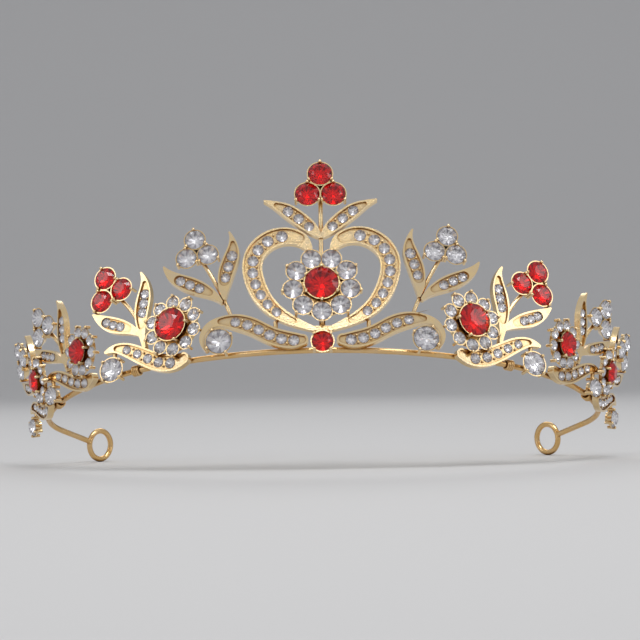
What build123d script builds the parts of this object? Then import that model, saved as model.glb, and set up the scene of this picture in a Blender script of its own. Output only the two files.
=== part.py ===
from build123d import *
import os
from math import cos, sin, radians, degrees

# A bridal tiara: cast openwork motifs set with rhinestones, carried on a wire band.
# Right-handed frame in millimetres: +X the wearer's left, -Y the front, +Z up, standing on the
# two wire eyes at the band's ends. The front of the band is raised, as it is worn.

os.makedirs("parts", exist_ok=True)

# ---- driving dimensions ----
pitch = 22.0            # rise of the band towards the front, degrees
wire_radius = 0.8
front_y = -33.228       # front of the band's centreline, in the object's frame
front_z = 32.0868
# Bends of the band's right half, from the front: radius, then the heading at the bend's end,
# in degrees from straight across.
bends = [(105.0, 26.0), (67.0, 50.0), (53.0, 73.0), (15.0, 126.0)]
tail_length = 12.0
eye_radius = 4.15       # centreline of the wire eye
eye_heading = 130.0
solder_gap = 0.05       # between a casting's back and the band
back = wire_radius + solder_gap

deck = 1.2              # thickness of the plates that the small stones sit in
rim_width = 0.5
rim_height = 0.55
flower_lift = 1.2       # a flower stands proud of its scroll
cup_wall = 0.35
prong_radius = 0.42
prong_rise = 0.5        # prong tip above its stone's girdle
prong_reach = 0.3       # prong's centre outside its stone's girdle
plate = 0.9             # discs that carry the cups
stem_radius = 0.55
seat_clearance = 0.03
link_radius = 0.6       # round links between neighbouring castings
link_level = back + 0.7
drop_lift = 0.3
drop_plate = 0.7

# ---- stone proportions, as parts of the girdle radius ----
pavilion_depth = 0.62
crown_height = 0.34
girdle_height = 0.08
table_share = 0.58


def brilliant(radius, slack=0.0):
    """Round stone, girdle's lower edge on the XY plane, table towards +Z."""
    girdle = radius + slack
    culet = -radius * pavilion_depth - 1.5 * slack
    girdle_top = radius * girdle_height + slack
    table_top = girdle_top + radius * crown_height
    with BuildPart() as stone:
        with BuildSketch(Plane.XZ):
            with BuildLine():
                Polyline((0, culet), (girdle, 0), (girdle, girdle_top),
                         (girdle * table_share, table_top), (0, table_top), close=True)
            make_face()
        revolve(axis=Axis.Z)
    return stone.part


def placed(shapes_at, plane, slack=0.0):
    """Stones (u, h, n, radius) of a motif, moved onto the motif's plane."""
    return [brilliant(radius, slack).moved(plane.location * Location((u, h, n)))
            for u, h, n, radius in shapes_at]


# ---- curved ribbons: scrolls, leaves and the heart ----
def spine_of(stations):
    return Edge.make_spline([Vector(u, h) for u, h, _ in stations])


def place_on(spine, point):
    """Share of the spine's length at the place nearest to a point."""
    nearest = spine.closest_points(Vertex(*point))[0]
    return spine.param_at_point(nearest)


def ribbon(plane, stations, trim=0.0, first=0, last=None):
    """Closed outline about a curved spine, its half-width given at each station."""
    spine = spine_of(stations)
    left, right, ends = [], [], []
    for u, h, half_width in stations[first:last]:
        t = place_on(spine, (u, h))
        along = spine.tangent_at(t)
        across = Vector(-along.Y, along.X) * (half_width - trim)
        left.append(spine.position_at(t) + across)
        right.append(spine.position_at(t) - across)
        ends.append((spine.position_at(t), along * (half_width - trim)))
    start_cap = ends[0][0] - ends[0][1]
    end_cap = ends[-1][0] + ends[-1][1]
    with BuildSketch(plane) as outline:
        with BuildLine():
            Spline(*left)
            ThreePointArc(left[-1], end_cap, right[-1])
            Spline(*right)
            ThreePointArc(right[0], start_cap, left[0])
        make_face()
    return outline.sketch


def channel(plane, stations, first, last):
    """Plate with raised rims either side of the row of small stones."""
    extrude(ribbon(plane.offset(back), stations), amount=deck + rim_height)
    extrude(ribbon(plane.offset(back + deck), stations, rim_width, first, last),
            amount=deck, mode=Mode.SUBTRACT)


def row(stations, count, radii, start, end, crowding=1.0):
    """Small stones along a ribbon's spine, between two of its stations."""
    spine = spine_of(stations)
    t_start = place_on(spine, start)
    t_end = place_on(spine, end)
    seats = []
    for k in range(count):
        share = k / (count - 1)
        at = spine.position_at(t_start + (t_end - t_start) * share ** crowding)
        radius = radii[0] + (radii[1] - radii[0]) * share
        seats.append((at.X, at.Y, back + deck, radius))
    return seats


# ---- round settings ----
def girdle_level(radius, lift):
    return back + lift + radius * pavilion_depth + 0.25


def cup(plane, u, h, radius, lift, prongs, first_angle):
    """Tapered cup under a round stone, with prongs around its edge."""
    height = radius * pavilion_depth + 0.25
    base = back + lift
    with Locations(plane.location * Location((u, h, base + height / 2))):
        Cone(radius * 0.55, radius + cup_wall, height)
    for k in range(prongs):
        angle = radians(first_angle + 360 * k / prongs)
        reach = radius + prong_reach
        tall = height + prong_rise
        spot = Location((u + reach * cos(angle), h + reach * sin(angle), base + tall / 2))
        with Locations(plane.location * spot):
            Cylinder(prong_radius, tall)


def stem(plane, points):
    """Round wire stem through three points of the motif."""
    ends = [plane.from_local_coords(Vector(u, h, back + stem_radius)) for u, h in points]
    with BuildLine() as route:
        path = ThreePointArc(*ends)
    with BuildSketch(Plane(origin=path @ 0, z_dir=path % 0)) as section:
        Circle(stem_radius)
    sweep(section.sketch, path=route.line)


def disc(plane, u, h, radius, lift, thickness):
    with Locations(plane.location * Location((u, h, back + lift + thickness / 2))):
        Cylinder(radius, thickness)


def triangle(centre, side, top_angle):
    """Centres of three touching stones."""
    reach = side / 3 ** 0.5
    return [(centre[0] + reach * cos(radians(top_angle + 120 * k)),
             centre[1] + reach * sin(radians(top_angle + 120 * k))) for k in range(3)]


def petal_ring(centre, ring_radius, count, first_angle):
    return [(centre[0] + ring_radius * cos(radians(first_angle + 360 * k / count)),
             centre[1] + ring_radius * sin(radians(first_angle + 360 * k / count)),
             first_angle + 360 * k / count) for k in range(count)]


# ---- planes of the motifs ----
hoop = Plane(origin=(0, front_y, front_z), x_dir=(1, 0, 0),
             z_dir=(0, sin(radians(pitch)), cos(radians(pitch))))


def on_band(heading):
    """Place on the band's centreline where it runs at a heading, in the hoop's own plane."""
    x, y, start = 0.0, 0.0, 0.0
    for radius, end in bends:
        stop = min(heading, end)
        x += radius * (sin(radians(stop)) - sin(radians(start)))
        y += radius * (cos(radians(start)) - cos(radians(stop)))
        if heading <= end:
            break
        start = end
    return x, y


def station(heading, middle=0.0, tilt=0.0, lift=0.0):
    """Motif plane that touches the band: x along it, y up from it, z outwards.

    The motif's plane meets the band at x = middle."""
    x, y = on_band(heading)
    facing = radians(heading)
    lean = radians(tilt)
    up = (sin(facing) * sin(lean), -cos(facing) * sin(lean), cos(lean))
    local = Plane(
        origin=(x - middle * cos(facing) + lift * up[0], y - middle * sin(facing) + lift * up[1],
                lift * up[2]),
        x_dir=(cos(facing), sin(facing), 0),
        z_dir=(sin(facing) * cos(lean), -cos(facing) * cos(lean), -sin(lean)))
    return Plane(hoop.location * local.location)


heart_plane = station(0)
wing_plane = station(6.0, 1.3)

pieces = {}

# ---- band ----
with BuildPart() as band_wire:
    with BuildLine(hoop):
        start = (0, 0)
        direction = (1, 0)
        heading = 0.0
        for radius, end_heading in bends:
            bend = JernArc(start, direction, radius, end_heading - heading)
            start = bend @ 1
            direction = bend % 1
            heading = end_heading
        tail = Line(start, start + direction * tail_length)
    with BuildSketch(Plane(origin=hoop.origin, z_dir=(1, 0, 0))):
        Circle(wire_radius)
    sweep()
    eye_local = Vector(cos(radians(eye_heading)), sin(radians(eye_heading)))
    eye_direction = hoop.from_local_coords(eye_local) - hoop.origin
    eye_plane = Plane(origin=(tail @ 1) + eye_direction * eye_radius, x_dir=eye_direction,
                      z_dir=eye_direction.cross(Vector(0, 0, 1)))
    with Locations(eye_plane):
        Torus(eye_radius, wire_radius)
    mirror(about=Plane.YZ)
pieces["band_wire"] = band_wire

# ---- wire ties that lash the side castings to the band ----
tie_turn_radius = 1.2
tie_wire_radius = 0.32
tie_turns = 4
tie_pitch = 0.55
for tie_name, tie_heading, (bend_radius, _) in (("inner", 29.6, bends[1]),
                                                ("outer", 61.0, bends[2])):
    with BuildPart() as right_tie:
        for turn in range(tie_turns):
            heading = tie_heading + degrees(turn * tie_pitch / bend_radius)
            x, y = on_band(heading)
            ring = Plane(origin=(x, y, 0), z_dir=(cos(radians(heading)), sin(radians(heading)), 0))
            with Locations(hoop.location * ring.location):
                Torus(tie_turn_radius, tie_wire_radius)
    with BuildPart() as left_tie:
        mirror(right_tie.part, about=Plane.YZ)
    pieces[f"right_{tie_name}_tie"] = right_tie
    pieces[f"left_{tie_name}_tie"] = left_tie

# ---- heart with its flower ----
heart_spine = [(3.0, 27.6, 0.7), (6.0, 31.7, 2.1), (12.2, 32.1, 2.65), (18.0, 26.8, 2.75),
               (17.7, 18.4, 2.65), (13.3, 11.3, 2.1), (7.6, 7.5, 1.35), (2.2, 5.2, 0.6)]
heart_row = row(heart_spine, 9, (1.45, 1.2), (10.6, 32.5), (12.2, 10.3), 0.93)
heart_row += [(-u, h, n, r) for u, h, n, r in heart_row]
flower_centre = (0, 17.5)
flower_ruby_radius = 4.5
petal_radius = 2.6
petal_ring_radius = 7.8
heart_petals = petal_ring(flower_centre, petal_ring_radius, 9, -90)
base_ruby_radius = 2.85
base_ruby_at = (0, 1.2)
base_lift = 0.7
gallery_bar = (1.6, 12.0)     # ties the flower's plate to the foot of the heart
gallery_at = (0, 11.0)
gusset = [(-3.2, 6.2), (3.2, 6.2), (1.4, 2.0), (-1.4, 2.0)]

ruby_seat = [(*flower_centre, girdle_level(flower_ruby_radius, flower_lift), flower_ruby_radius)]
petal_seats = [(u, h, girdle_level(petal_radius, flower_lift), petal_radius)
               for u, h, _ in heart_petals]
base_seat = [(*base_ruby_at, girdle_level(base_ruby_radius, base_lift), base_ruby_radius)]
heart_cutters = placed(heart_row + ruby_seat + petal_seats + base_seat, heart_plane, seat_clearance)

with BuildPart() as heart_half:
    channel(heart_plane, heart_spine, 1, 7)
with BuildPart() as heart_casting:
    add(heart_half.part)
    mirror(heart_half.part, about=Plane.YZ)
    disc(heart_plane, *flower_centre, petal_ring_radius + 1.2, flower_lift, plate)
    cup(heart_plane, *flower_centre, flower_ruby_radius, flower_lift, 6, 30)
    for u, h, angle in heart_petals:
        cup(heart_plane, u, h, petal_radius, flower_lift, 1, angle)
    with BuildSketch(heart_plane.offset(back)):
        with Locations(gallery_at):
            Rectangle(*gallery_bar)
    extrude(amount=flower_lift + 0.1)
    with BuildSketch(heart_plane.offset(back)):
        with BuildLine():
            Polyline(*gusset, close=True)
        make_face()
    extrude(amount=deck)
    disc(heart_plane, *base_ruby_at, 1.8, 0, base_lift + 0.1)
    cup(heart_plane, *base_ruby_at, base_ruby_radius, base_lift, 4, 45)
    add(heart_cutters, mode=Mode.SUBTRACT)
pieces["heart_casting"] = heart_casting

# ---- crest: stem, pair of leaves and three stones ----
crest_leaf = [(0.4, 32.3, 0.6), (3.1, 35.2, 1.9), (6.1, 37.8, 2.15), (9.0, 40.0, 2.0),
              (12.0, 41.7, 1.2), (15.2, 43.0, 0.3)]
crest_row = row(crest_leaf, 3, (1.25, 1.35), (3.2, 35.3), (8.9, 39.9))
crest_row += [(-u, h, n, r) for u, h, n, r in crest_row]
crest_ruby_radius = 3.3
crest_lift = 0.6
crest_centre = (0, 46.4)
crest_rubies = triangle(crest_centre, 7.1, 90)
crest_stem_radius = 0.62
crest_stem_length = 21.5
crest_stem_at = (0, 34.2, back + crest_stem_radius + 0.1)
crest_seats = [(u, h, girdle_level(crest_ruby_radius, crest_lift), crest_ruby_radius)
               for u, h in crest_rubies]
crest_cutters = placed(crest_row + crest_seats, heart_plane, seat_clearance)

with BuildPart() as crest_half:
    channel(heart_plane, crest_leaf, 1, 5)
with BuildPart() as crest_casting:
    add(crest_half.part)
    mirror(crest_half.part, about=Plane.YZ)
    with Locations(heart_plane.location * Location(crest_stem_at, (90, 0, 0))):
        Cylinder(crest_stem_radius, crest_stem_length)
    disc(heart_plane, *crest_centre, 3.4, crest_lift, plate)
    for index, (u, h) in enumerate(crest_rubies):
        cup(heart_plane, u, h, crest_ruby_radius, crest_lift, 3, 90 + 120 * index)
    add(crest_cutters, mode=Mode.SUBTRACT)
pieces["crest_casting"] = crest_casting


def stones(seats, plane):
    """One node's stones as separate solids, each in its seat."""
    gems = placed(seats, plane)
    with BuildPart() as group:
        add(gems)
    return group


pieces["heart_pave"] = stones(heart_row, heart_plane)
pieces["heart_flower_ruby"] = stones(ruby_seat, heart_plane)
pieces["heart_flower_petals"] = stones(petal_seats, heart_plane)
pieces["base_ruby"] = stones(base_seat, heart_plane)
pieces["crest_pave"] = stones(crest_row, heart_plane)
pieces["crest_rubies"] = stones(crest_seats, heart_plane)


def add_pair(name, piece):
    """A right-hand piece and its mirror image on the left."""
    with BuildPart() as twin:
        mirror(piece.part, about=Plane.YZ)
    pieces["right_" + name] = piece
    pieces["left_" + name] = twin


def sprig(plane, upright, level, stem_points, cluster, radius):
    """Two leaves and a cluster of three stones on a stem."""
    stem(plane, stem_points)
    channel(plane, upright, 1, 5)
    channel(plane, level, 1, 5)
    centre_u = sum(u for u, _ in cluster) / 3
    centre_h = sum(h for _, h in cluster) / 3
    disc(plane, centre_u, centre_h, radius, 0, plate)
    for u, h in cluster:
        outwards = Vector(u - centre_u, h - centre_h).get_signed_angle(Vector(1, 0), Vector(0, 0, -1))
        cup(plane, u, h, radius, 0, 3, outwards)


# ---- wings: the centre's lower scrolls, each with a sprig and a large drop ----
wing_scroll = [(-4.6, 2.1, 1.6), (-1.6, 2.2, 2.3), (3.9, 3.9, 2.45), (8.6, 6.6, 2.45),
               (13.4, 8.3, 2.2), (17.3, 8.6, 1.4), (20.6, 7.4, 0.95), (22.3, 4.3, 0.75),
               (21.2, 0.6, 0.4)]
wing_upright = [(16.3, 15.3, 0.5), (16.3, 20.3, 1.9), (15.3, 24.7, 2.3), (14.2, 28.4, 2.0),
                (14.1, 31.5, 1.1), (15.0, 34.7, 0.3)]
wing_level = [(17.2, 14.4, 0.5), (20.4, 17.2, 1.5), (23.4, 18.8, 2.1), (26.0, 20.0, 2.2),
              (28.7, 21.3, 1.9), (32.9, 25.4, 0.3)]
wing_stone_radius = 2.7
wing_drop_radius = 3.4
wing_drop_at = (17.7, 2.5)
wing_cluster = triangle((24.0, 29.6), 5.9, 82)
wing_row = (row(wing_scroll, 6, (1.35, 1.2), (-2.3, 2.1), (13.4, 8.3))
            + row(wing_upright, 3, (1.2, 1.35), (16.1, 21.4), (14.4, 27.8))
            + row(wing_level, 3, (1.2, 1.2), (23.2, 18.7), (28.4, 21.1)))
wing_cluster_seats = [(u, h, girdle_level(wing_stone_radius, 0), wing_stone_radius)
                      for u, h in wing_cluster]
wing_drop_seat = [(*wing_drop_at, girdle_level(wing_drop_radius, drop_lift), wing_drop_radius)]
wing_cutters = placed(wing_row + wing_cluster_seats + wing_drop_seat, wing_plane, seat_clearance)

with BuildPart() as wing_casting:
    channel(wing_plane, wing_scroll, 0, 6)
    sprig(wing_plane, wing_upright, wing_level, [(13.8, 8.0), (17.0, 16.2), (23.3, 28.0)],
          wing_cluster, wing_stone_radius)
    disc(wing_plane, *wing_drop_at, 2.2, 0, drop_plate)
    cup(wing_plane, *wing_drop_at, wing_drop_radius, drop_lift, 4, 60)
    with Locations(wing_plane.location * Location((2.6, 6.7, link_level), (90, 0, 0))):
        Cylinder(link_radius, 2.6)
    add(wing_cutters, mode=Mode.SUBTRACT)
add_pair("wing_casting", wing_casting)
add_pair("wing_pave", stones(wing_row, wing_plane))
add_pair("wing_cluster", stones(wing_cluster_seats, wing_plane))
add_pair("wing_drop", stones(wing_drop_seat, wing_plane))

# ---- side motifs: flower, scroll, sprig and drop, one design in three sizes ----
scroll = [(-3.3, 0.4, 1.7), (0.9, -0.1, 2.4), (4.7, 0.9, 2.5), (9.6, 3.5, 2.35),
          (14.5, 6.2, 1.9), (17.6, 7.1, 1.3), (20.8, 6.6, 0.5)]
upright = [(8.8, 6.0, 0.5), (9.7, 12.2, 1.5), (9.7, 16.2, 2.15), (9.0, 20.4, 2.2),
           (8.8, 24.6, 1.2), (9.9, 27.9, 0.3)]
level = [(9.6, 9.4, 0.5), (13.8, 12.2, 1.6), (16.6, 13.4, 2.1), (18.9, 14.3, 2.2),
         (21.0, 15.4, 1.9), (25.0, 18.4, 0.3)]
flower_at = (-0.6, 9.9)
cluster_at = (19.7, 24.7)
drop_at = (18.5, 0.8)


def scaled(stations, size):
    return [(u * size, h * size, w * size) for u, h, w in stations]


# name, heading of the band there, middle, tilt, size, lift, ruby, petal, cluster and drop radii,
# and how much taller the upright leaf is
motifs = [("inner", 26.0, 7.5, 1.0, 1.00, -0.6, 4.5, 1.75, 3.1, 3.3, 1.0),
          ("middle", 50.0, 7.0, 10.0, 0.86, 0.4, 3.4, 1.5, 2.6, 2.6, 1.09),
          ("outer", 73.0, 7.0, 12.0, 0.88, -0.8, 3.25, 1.45, 2.6, 2.6, 1.05)]

for name, heading, middle, tilt, size, lift, ruby, petal, bead, drop, stretch in motifs:
    plane = station(heading, middle, tilt, lift)
    motif_scroll = scaled(scroll, size)
    motif_upright = [(u, h * stretch, w) for u, h, w in scaled(upright, size)]
    motif_level = scaled(level, size)
    centre = (flower_at[0] * size, flower_at[1] * size)
    petals = petal_ring(centre, ruby + petal + 0.45, 10, 90)
    cluster = triangle((cluster_at[0] * size, cluster_at[1] * size), 2 * bead + 0.5, 69)
    drop_spot = (drop_at[0] * size, drop_at[1] * size)

    pave_seats = (row(motif_scroll, 5, (1.35 * size, 1.15 * size), motif_scroll[1][:2],
                      motif_scroll[4][:2])
                  + row(motif_upright, 3, (1.3 * size, 1.3 * size), motif_upright[2][:2],
                        (8.9 * size, 21.5 * size * stretch))
                  + row(motif_level, 3, (1.2 * size, 1.2 * size), motif_level[2][:2],
                        motif_level[4][:2]))
    ruby_seats = [(*centre, girdle_level(ruby, flower_lift), ruby)]
    petal_seats = [(u, h, girdle_level(petal, flower_lift), petal) for u, h, _ in petals]
    cluster_seats = [(u, h, girdle_level(bead, 0), bead) for u, h in cluster]
    drop_seats = [(*drop_spot, girdle_level(drop, drop_lift), drop)]
    cutters = placed(pave_seats + ruby_seats + petal_seats + cluster_seats + drop_seats,
                     plane, seat_clearance)

    with BuildPart() as casting:
        sprig(plane, motif_upright, motif_level,
              [(8.2 * size, 3.4 * size), (10.6 * size, 12.5 * size), (17.8 * size, 22.6 * size)],
              cluster, bead)
        channel(plane, motif_scroll, 0, 6)
        disc(plane, *centre, ruby + petal + 0.9, flower_lift, plate)
        cup(plane, *centre, ruby, flower_lift, 5, 36)
        for u, h, petal_angle in petals:
            cup(plane, u, h, petal, flower_lift, 1, petal_angle)
        disc(plane, *drop_spot, drop * 0.65, 0, drop_plate)
        cup(plane, *drop_spot, drop, drop_lift, 4, 45)
        link_top = 5.9 * size
        link_foot = drop_spot[1] + drop
        link = (drop_spot[0], (link_foot + link_top) / 2, link_level)
        with Locations(plane.location * Location(link, (90, 0, 0))):
            Cylinder(link_radius, link_top - link_foot + 2.0)
        add(cutters, mode=Mode.SUBTRACT)
    add_pair(name + "_casting", casting)
    add_pair(name + "_pave", stones(pave_seats, plane))
    add_pair(name + "_ruby", stones(ruby_seats, plane))
    add_pair(name + "_petals", stones(petal_seats, plane))
    add_pair(name + "_cluster", stones(cluster_seats, plane))
    add_pair(name + "_drop", stones(drop_seats, plane))

# ---- write every piece ----
for name, piece in pieces.items():
    piece.part.label = name
    export_step(piece.part, "parts/" + name + ".step")
whole = Compound(children=[piece.part for piece in pieces.values()]).bounding_box()
print("box", whole.min, whole.max)
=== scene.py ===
"""Tiara: polished cast-alloy motifs on a wire band, set with faceted red and clear stones.

Metres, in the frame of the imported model: +Z up, -Y the front, standing on the floor at z = 0.
"""
import math
import random

import bmesh
import bpy
import numpy as np
from mathutils import Matrix, Vector


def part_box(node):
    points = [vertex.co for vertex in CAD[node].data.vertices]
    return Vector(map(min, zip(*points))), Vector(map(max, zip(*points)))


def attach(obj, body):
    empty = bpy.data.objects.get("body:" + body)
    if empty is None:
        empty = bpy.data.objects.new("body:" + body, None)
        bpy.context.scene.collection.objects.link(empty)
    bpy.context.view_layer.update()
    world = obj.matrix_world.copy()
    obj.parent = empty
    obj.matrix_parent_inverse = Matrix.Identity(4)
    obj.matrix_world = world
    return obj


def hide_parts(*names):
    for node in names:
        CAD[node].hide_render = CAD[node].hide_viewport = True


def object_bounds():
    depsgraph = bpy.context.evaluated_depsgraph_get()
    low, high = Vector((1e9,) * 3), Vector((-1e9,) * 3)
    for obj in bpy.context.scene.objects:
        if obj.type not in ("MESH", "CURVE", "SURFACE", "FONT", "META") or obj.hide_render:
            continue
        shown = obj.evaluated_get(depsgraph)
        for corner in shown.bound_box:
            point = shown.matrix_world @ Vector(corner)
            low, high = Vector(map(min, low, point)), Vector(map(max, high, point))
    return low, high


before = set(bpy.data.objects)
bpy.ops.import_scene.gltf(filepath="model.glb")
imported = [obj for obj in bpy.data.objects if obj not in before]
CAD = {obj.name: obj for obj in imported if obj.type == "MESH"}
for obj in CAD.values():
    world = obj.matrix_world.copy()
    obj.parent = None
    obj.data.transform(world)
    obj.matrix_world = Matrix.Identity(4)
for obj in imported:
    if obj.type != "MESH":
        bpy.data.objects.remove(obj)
cad_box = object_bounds()

MM = 0.001
NODES = sorted(CAD)

# ---- camera ----
LENS_MM = 127.0
SENSOR_MM = 36.0
CAMERA_DISTANCE = 600 * MM      # from the front of the band
CAMERA_SIDE = -0.7 * MM
CAMERA_TILT = math.radians(0.69)
CAMERA_ROLL = math.radians(0.85)
CAMERA_NEAR = 10 * MM

# ---- stones ----
FACETS = 8
TABLE_SHARE = 0.56              # this and the shares below are of the girdle radius
STAR_SHARE = 0.76
STAR_DROP = 0.98                # of the height of a plain cone, at the star facets
CROWN_SHARE = 0.36
GIRDLE_SHARE = 0.06
PAVILION_SHARE = 0.60
LOWER_HALF_SHARE = 0.22
SMALL_STONE_SHARE = 1.1         # small stones overlap the edges of their seats
SMALL_STONE_RISE = 0.08
GLASS, FOIL_PAINTED_LIT, FOIL_PAINTED_HALF_SHADE, FOIL_PAINTED_SHADE = 0, 1, 2, 3        # material slots of a stone; the last three are painted light and shade on the foil
GLASS_IOR = 1.58
FOIL_METALLIC = 0.5
FOIL_ROUGHNESS = 0.04
WELD = 0.001 * MM               # points of a CAD mesh nearer than this are one
FLAT = 0.02 * MM                # points within this of a level are on it

# ---- metal ----
# painted shade: the metal's colour darkens in its recesses, found by ambient occlusion
PAINTED_SHADE_REACH = 1.4 * MM
PAINTED_SHADE_SAMPLES = 8
PAINTED_SHADE_FULL_AT = 0.42              # openness at which the metal takes its full painted shade, and its own tint
PAINTED_SHADE_NONE_AT = 0.96
CLOUD_SHARE = 1 / 6             # scale of the scuffs over that of the cast grain
NOISE_DETAIL = 3.0
SATURATION = (0.8, 1.25)
SCUFFS = (0.6, 1.5)             # lowest and highest roughness, as shares of the given one
GRAIN_DEPTH = 0.035 * MM
EDGE_ROUND = 0.2 * MM
EDGE_SEGMENTS = 2
EDGE_ANGLE = math.radians(35)

# ---- beads and prongs ----
GRAIN_RADIUS = 0.32 * MM
GRAIN_GAP = 1.75                # stones nearer than this, in sums of their radii, are neighbours
GRAIN_SIDE = 0.72
GRAIN_LIFT = 0.12 * MM
TIP_RADIUS = 0.47 * MM
PRONG_REACH = 0.3 * MM
PRONG_RISE = 0.28 * MM
PITCH = math.radians(22)        # the band rises towards the front
HOOP_UP = Vector((0, math.sin(PITCH), math.cos(PITCH)))

# ---- studio ----
FLOOR_HALF = 2.5
SWEEP_START = 0.9               # where the floor begins to curve up behind the object
SWEEP_RADIUS = 0.9
SWEEP_STEPS = 24
FLOOR_COLOUR = (0.56, 0.555, 0.55, 1)
FLOOR_ROUGHNESS = 0.75
SKY_COLOUR = (0.62, 0.63, 0.66, 1)
SKY_STRENGTH = 0.85
# name, place, width, height and power of each light
LIGHTS = (("key", (0.1, -0.28, 0.85), 0.55, 0.25, 3.2),
          ("left_fill", (-0.75, -0.25, 0.45), 0.2, 0.5, 0.55),
          ("right_fill", (0.75, -0.25, 0.45), 0.2, 0.5, 0.55),
          ("back_rim", (0.0, 0.6, 0.55), 0.6, 0.3, 1.2))
SPARKLES = ((-0.34, -0.7, 0.42), (0.34, -0.7, 0.42), (-0.6, -0.5, 0.16), (0.6, -0.5, 0.16),
            (0.0, -0.72, 0.62))
SPARKLE_SIZE = 0.09
SPARKLE_POWER = 0.16


# ---- materials ----
def new_material(name):
    """A node material, with its nodes, links and shader."""
    material = bpy.data.materials.new(name)
    material.use_nodes = True
    tree = material.node_tree
    return material, tree.nodes, tree.links, tree.nodes["Principled BSDF"]


def gold(name, tint, painted_shade_colour, roughness, grain_scale, grain_strength):
    """Plated metal: painted shade, darker and warmer, in the recesses, with a cast grain and soft
    scuffs in its polish.
    """
    material, nodes, links, shader = new_material(name)
    shader.inputs["Metallic"].default_value = 1.0
    place = nodes.new("ShaderNodeTexCoord")

    def noise(scale):
        node = nodes.new("ShaderNodeTexNoise")
        node.inputs["Scale"].default_value = scale
        node.inputs["Detail"].default_value = NOISE_DETAIL
        links.new(place.outputs["Object"], node.inputs["Vector"])
        return node.outputs["Fac"]

    def between(source, low, high):
        node = nodes.new("ShaderNodeMapRange")
        node.inputs["To Min"].default_value = low
        node.inputs["To Max"].default_value = high
        links.new(source, node.inputs["Value"])
        return node.outputs["Result"]

    # painted shade: ambient occlusion blends the base colour from the tint to the darker shade
    # colour in recesses
    painted_shade_ao = nodes.new("ShaderNodeAmbientOcclusion")
    painted_shade_ao.inputs["Distance"].default_value = PAINTED_SHADE_REACH
    painted_shade_ao.samples = PAINTED_SHADE_SAMPLES
    painted_shade_ramp = nodes.new("ShaderNodeValToRGB")
    dark, clear = painted_shade_ramp.color_ramp.elements
    dark.position = PAINTED_SHADE_FULL_AT
    dark.color = (*painted_shade_colour, 1)
    clear.position = PAINTED_SHADE_NONE_AT
    clear.color = (*tint, 1)
    links.new(painted_shade_ao.outputs["AO"], painted_shade_ramp.inputs["Fac"])
    clouds = noise(grain_scale * CLOUD_SHARE)
    drift = nodes.new("ShaderNodeHueSaturation")
    links.new(painted_shade_ramp.outputs["Color"], drift.inputs["Color"])
    links.new(between(clouds, *SATURATION), drift.inputs["Saturation"])
    links.new(drift.outputs["Color"], shader.inputs["Base Color"])
    links.new(between(clouds, *[roughness * share for share in SCUFFS]),
              shader.inputs["Roughness"])
    bump = nodes.new("ShaderNodeBump")
    bump.inputs["Strength"].default_value = grain_strength
    bump.inputs["Distance"].default_value = GRAIN_DEPTH
    links.new(noise(grain_scale), bump.inputs["Height"])
    links.new(bump.outputs["Normal"], shader.inputs["Normal"])
    return material


def stone_glass(name, colour):
    material, _, _, shader = new_material(name)
    shader.inputs["Base Color"].default_value = (*colour, 1)
    shader.inputs["Roughness"].default_value = 0.0
    shader.inputs["IOR"].default_value = GLASS_IOR
    shader.inputs["Transmission Weight"].default_value = 1.0
    return material


def stone_foil(name, colour):
    material, _, _, shader = new_material(name)
    shader.inputs["Base Color"].default_value = (*colour, 1)
    shader.inputs["Metallic"].default_value = FOIL_METALLIC
    shader.inputs["Roughness"].default_value = FOIL_ROUGHNESS
    return material


# the second colour of each metal is its painted shade, laid into the recesses
CAST_GOLD = gold("cast_gold", (0.88, 0.68, 0.40), (0.46, 0.26, 0.09), 0.18, 2400, 0.5)
WIRE_GOLD = gold("wire_gold", (0.74, 0.50, 0.24), (0.36, 0.2, 0.07), 0.22, 1800, 0.3)
# each stone's foil comes as lit, half-shaded and shaded copies of one colour: painted light and
# shade
CLEAR_STONE = [stone_glass("clear_glass", (1.0, 1.0, 1.0)),
               stone_foil("clear_foil_painted_lit", (1.0, 0.99, 1.0)),
               stone_foil("clear_foil_painted_half_shade", (0.92, 0.91, 0.93)),
               stone_foil("clear_foil_painted_shade", (0.58, 0.56, 0.60))]
RED_STONE = [stone_glass("red_glass", (0.98, 0.02, 0.015)),
             stone_foil("red_foil_painted_lit", (1.0, 0.16, 0.08)),
             stone_foil("red_foil_painted_half_shade", (0.95, 0.07, 0.04)),
             stone_foil("red_foil_painted_shade", (0.50, 0.02, 0.015))]


def new_object(name, mesh):
    made = bpy.data.objects.new(name, mesh)
    bpy.context.collection.objects.link(made)
    return made


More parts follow.
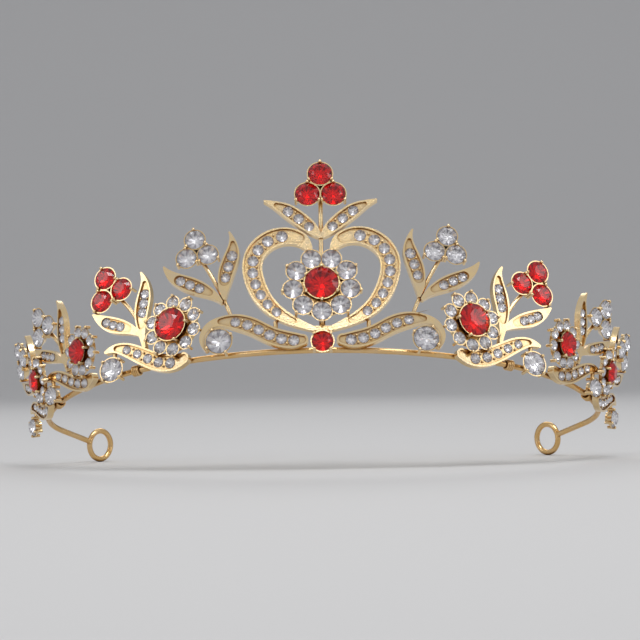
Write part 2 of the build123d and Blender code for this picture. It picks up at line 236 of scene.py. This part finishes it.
# ---- stones: one faceted brilliant, placed on each CAD stone ----
def brilliant_faces():
    """Points, faces and material slots of a round brilliant of girdle radius 1, table up.

    The foil behind the pavilion alternates as a star between its three tones, which are painted
    light, half shade and shade: painted reflections of the facets."""
    top = GIRDLE_SHARE + CROWN_SHARE
    slope = CROWN_SHARE / (1 - TABLE_SHARE)
    star_height = GIRDLE_SHARE + slope * (1 - STAR_SHARE) * STAR_DROP
    points = []

    def ring(radius, height, count, turn=0.0):
        first = len(points)
        for k in range(count):
            angle = 2 * math.pi * (k + turn) / count
            points.append((radius * math.cos(angle), radius * math.sin(angle), height))
        return [first + k for k in range(count)]

    table = ring(TABLE_SHARE, top, FACETS)
    star = ring(STAR_SHARE, star_height, FACETS, 0.5)
    upper = ring(1.0, GIRDLE_SHARE, 2 * FACETS)
    lower = ring(1.0, 0.0, 2 * FACETS)
    halves = ring(LOWER_HALF_SHARE, -PAVILION_SHARE * (1 - LOWER_HALF_SHARE), FACETS, 0.5)
    points.append((0, 0, -PAVILION_SHARE))
    culet = len(points) - 1
    crown, pavilion, foil_painted_light = [table], [], []
    for k in range(FACETS):
        even, odd, even_after = 2 * k, 2 * k + 1, (2 * k + 2) % (2 * FACETS)
        crown += [[table[k], star[k], table[(k + 1) % FACETS]],
                  [table[k], star[k - 1], upper[even], star[k]],
                  [star[k], upper[even], upper[odd]],
                  [star[k], upper[odd], upper[even_after]],
                  [upper[even], lower[even], lower[odd], upper[odd]],
                  [upper[odd], lower[odd], lower[even_after], upper[even_after]]]
        pavilion += [[lower[even], halves[k], lower[odd]],
                     [lower[odd], halves[k], lower[even_after]],
                     [lower[even], halves[k - 1], culet, halves[k]]]
        # painted reflections: each pavilion facet gets a fixed lit, half-shaded or shaded foil
        foil_painted_light += [FOIL_PAINTED_SHADE, FOIL_PAINTED_LIT, FOIL_PAINTED_HALF_SHADE if k % 2 else FOIL_PAINTED_LIT]
    return points, crown + pavilion, [GLASS] * len(crown) + foil_painted_light


BRILLIANT = brilliant_faces()


def parts_of(mesh):
    """Points of each separate stone in a CAD mesh, as arrays."""
    graph = bmesh.new()
    graph.from_mesh(mesh)
    bmesh.ops.remove_doubles(graph, verts=graph.verts, dist=WELD)
    seen = set()
    groups = []
    for seed in graph.verts:
        if seed in seen:
            continue
        seen.add(seed)
        group, edge = [seed], [seed]
        while edge:
            vertex = edge.pop()
            for link in vertex.link_edges:
                other = link.other_vert(vertex)
                if other not in seen:
                    seen.add(other)
                    group.append(other)
                    edge.append(other)
        groups.append(np.array([tuple(v.co) for v in group]))
    graph.free()
    return sorted(groups, key=lambda group: tuple(np.round(group.mean(axis=0), 5)))


def seat_of(points):
    """Centre of the girdle, axis towards the table, and girdle radius of a turned stone."""
    spread = points - points.mean(axis=0)
    values, vectors = np.linalg.eigh(spread.T @ spread)
    gaps = [abs(values[1] - values[2]), abs(values[0] - values[2]), abs(values[0] - values[1])]
    axis = vectors[:, int(np.argmin(gaps))]
    along = spread @ axis
    at_top = (along > along.max() - FLAT).sum()
    at_bottom = (along < along.min() + FLAT).sum()
    if at_bottom > at_top:
        axis = -axis
        along = -along
    table = points[along > along.max() - FLAT].mean(axis=0)
    across = np.linalg.norm(np.cross(points - table, axis), axis=1)
    radius = across.max()
    girdle = (points[across > radius - FLAT] - table) @ axis
    return Vector(table + axis * girdle.min()), Vector(axis), float(radius)


def stone_mesh(name, seats, seed):
    points, stone_faces, stone_slots = BRILLIANT
    dice = random.Random(seed)
    all_points, faces, slots = [], [], []
    for centre, axis, radius in seats:
        upright = axis.to_track_quat("Z", "Y").to_matrix()
        turn = upright @ Matrix.Rotation(dice.uniform(0, math.pi), 3, "Z")
        first = len(all_points)
        all_points += [centre + turn @ (Vector(point) * radius) for point in points]
        faces += [[first + i for i in face] for face in stone_faces]
        slots += stone_slots
    mesh = bpy.data.meshes.new(name)
    mesh.from_pydata([tuple(point) for point in all_points], [], faces)
    mesh.polygons.foreach_set("material_index", slots)
    graph = bmesh.new()
    graph.from_mesh(mesh)
    bmesh.ops.recalc_face_normals(graph, faces=graph.faces)
    graph.to_mesh(mesh)
    graph.free()
    return mesh


RED_ENDINGS = ("_ruby", "_rubies", "inner_cluster")
STONE_WORDS = ("pave", "petals", "ruby", "rubies", "cluster", "drop")


def is_red(name):
    return name.endswith(RED_ENDINGS)


def is_stone(name):
    return name.split("_")[-1] in STONE_WORDS


small_seats = []
held_seats = []
for index, name in enumerate(node for node in NODES if is_stone(node)):
    seats = [seat_of(points) for points in parts_of(CAD[name].data)]
    if name.endswith("_pave"):
        seats = [(centre + axis * radius * SMALL_STONE_RISE, axis, radius * SMALL_STONE_SHARE)
                 for centre, axis, radius in seats]
        small_seats.append(seats)
    else:
        held_seats.append((name, seats))
    mesh = stone_mesh(name + "_cut", seats, index)
    for material in RED_STONE if is_red(name) else CLEAR_STONE:
        mesh.materials.append(material)
    stones = new_object(name + "_cut", mesh)
    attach(stones, "root")
    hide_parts(name)


# ---- beads: grains between the small stones, and the tips of the prongs ----
def axes_at(name, axis):
    """Directions across and up in the plane of a stone's casting."""
    across = HOOP_UP.cross(axis).normalized()
    up = axis.cross(across)
    return (-across if name.startswith("left_") else across), up


def prong_angles(name):
    """First angle and count of the prongs round a single stone, from the casting's design."""
    if name == "heart_flower_ruby":
        return 30, 6
    if name.endswith("_ruby") and name != "base_ruby":
        return 36, 5
    return (60 if "wing" in name else 45), 4


def tip_spots(name, seats):
    """Where each prong of a stone ends."""
    middle = sum((centre for centre, _, _ in seats), Vector()) / len(seats)
    spots = []
    for centre, axis, radius in seats:
        if len(seats) > 1:
            out = (centre - middle).normalized()
            count = 3 if len(seats) == 3 else 1
            turns = [Matrix.Rotation(2 * math.pi * k / count, 3, axis) @ out for k in range(count)]
        else:
            across, up = axes_at(name, axis)
            first, count = prong_angles(name)
            angles = [math.radians(first + 360 * k / count) for k in range(count)]
            turns = [across * math.cos(a) + up * math.sin(a) for a in angles]
        spots += [centre + turn * (radius + PRONG_REACH) + axis * PRONG_RISE for turn in turns]
    return spots


def grain_spots(seats):
    """Places beside each gap between neighbouring small stones."""
    spots = []
    for i, (a, axis, radius_a) in enumerate(seats):
        for b, _, radius_b in seats[i + 1:]:
            if (b - a).length > GRAIN_GAP * (radius_a + radius_b):
                continue
            across = (b - a).cross(axis).normalized() * GRAIN_SIDE * radius_a
            spots += [(a + b) / 2 + across * side + axis * GRAIN_LIFT for side in (-1, 1)]
    return spots


def bead_object(name, spots, radius):
    graph = bmesh.new()
    for spot in spots:
        bmesh.ops.create_icosphere(graph, subdivisions=2, radius=radius,
                                   matrix=Matrix.Translation(spot))
    mesh = bpy.data.meshes.new(name)
    graph.to_mesh(mesh)
    graph.free()
    mesh.shade_smooth()
    mesh.materials.append(CAST_GOLD)
    beads = new_object(name, mesh)
    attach(beads, "root")


bead_object("grain_beads", [spot for seats in small_seats for spot in grain_spots(seats)],
            GRAIN_RADIUS)
bead_object("prong_tips", [spot for name, seats in held_seats for spot in tip_spots(name, seats)],
            TIP_RADIUS)

# ---- castings, band and ties ----
for name in NODES:
    if is_stone(name):
        continue
    piece = CAD[name]
    cast = name.endswith("_casting")
    piece.data.materials.clear()
    piece.data.materials.append(CAST_GOLD if cast else WIRE_GOLD)
    if cast:
        bevel = piece.modifiers.new("soft_edges", "BEVEL")
        bevel.width = EDGE_ROUND
        bevel.segments = EDGE_SEGMENTS
        bevel.use_clamp_overlap = False
        bevel.limit_method = "ANGLE"
        bevel.angle_limit = EDGE_ANGLE

# ---- floor: a sheet that curves up behind the object ----
profile = [(-FLOOR_HALF, 0.0)]
for step in range(SWEEP_STEPS + 1):
    angle = math.pi / 2 * step / SWEEP_STEPS
    profile.append((SWEEP_START + SWEEP_RADIUS * math.sin(angle),
                    SWEEP_RADIUS * (1 - math.cos(angle))))
profile.append((SWEEP_START + SWEEP_RADIUS, FLOOR_HALF))
floor_mesh = bpy.data.meshes.new("floor")
floor_mesh.from_pydata([(x, y, z) for y, z in profile for x in (-FLOOR_HALF, FLOOR_HALF)], [],
                       [(2 * k, 2 * k + 1, 2 * k + 3, 2 * k + 2) for k in range(len(profile) - 1)])
floor_mesh.shade_smooth()
floor_material, _, _, floor_shader = new_material("floor_paint")
floor_shader.inputs["Base Color"].default_value = FLOOR_COLOUR
floor_shader.inputs["Roughness"].default_value = FLOOR_ROUGHNESS
floor_mesh.materials.append(floor_material)
floor = new_object("floor", floor_mesh)

# ---- light ----
world = bpy.data.worlds.new("studio")
bpy.context.scene.world = world
world.use_nodes = True
sky = world.node_tree.nodes["Background"]
sky.inputs["Color"].default_value = SKY_COLOUR
sky.inputs["Strength"].default_value = SKY_STRENGTH
bpy.context.scene.view_settings.view_transform = "Standard"

centre = Vector([(low + high) / 2 for low, high in zip(*cad_box)])


def softbox(name, place, width, height, power):
    """Area light that faces the middle of the object."""
    light = bpy.data.lights.new(name, "AREA")
    light.shape = "RECTANGLE"
    light.size = width
    light.size_y = height
    light.energy = power
    lamp = new_object(name, light)
    lamp.location = place
    lamp.rotation_euler = (centre - Vector(place)).to_track_quat("-Z", "Y").to_euler()


for light in LIGHTS:
    softbox(*light)
for index, place in enumerate(SPARKLES):
    softbox(f"sparkle_{index}", place, SPARKLE_SIZE, SPARKLE_SIZE, SPARKLE_POWER)

# ---- camera ----
band_low, band_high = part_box("band_wire")
front = Vector((0, band_low.y, band_high.z))
camera_data = bpy.data.cameras.new("camera")
camera_data.lens = LENS_MM
camera_data.sensor_width = SENSOR_MM
camera_data.clip_start = CAMERA_NEAR
camera = new_object("camera", camera_data)
camera.location = front + Vector((CAMERA_SIDE, -CAMERA_DISTANCE, 0))
camera.rotation_euler = (math.pi / 2 + CAMERA_TILT, CAMERA_ROLL, 0)
bpy.context.scene.camera = camera
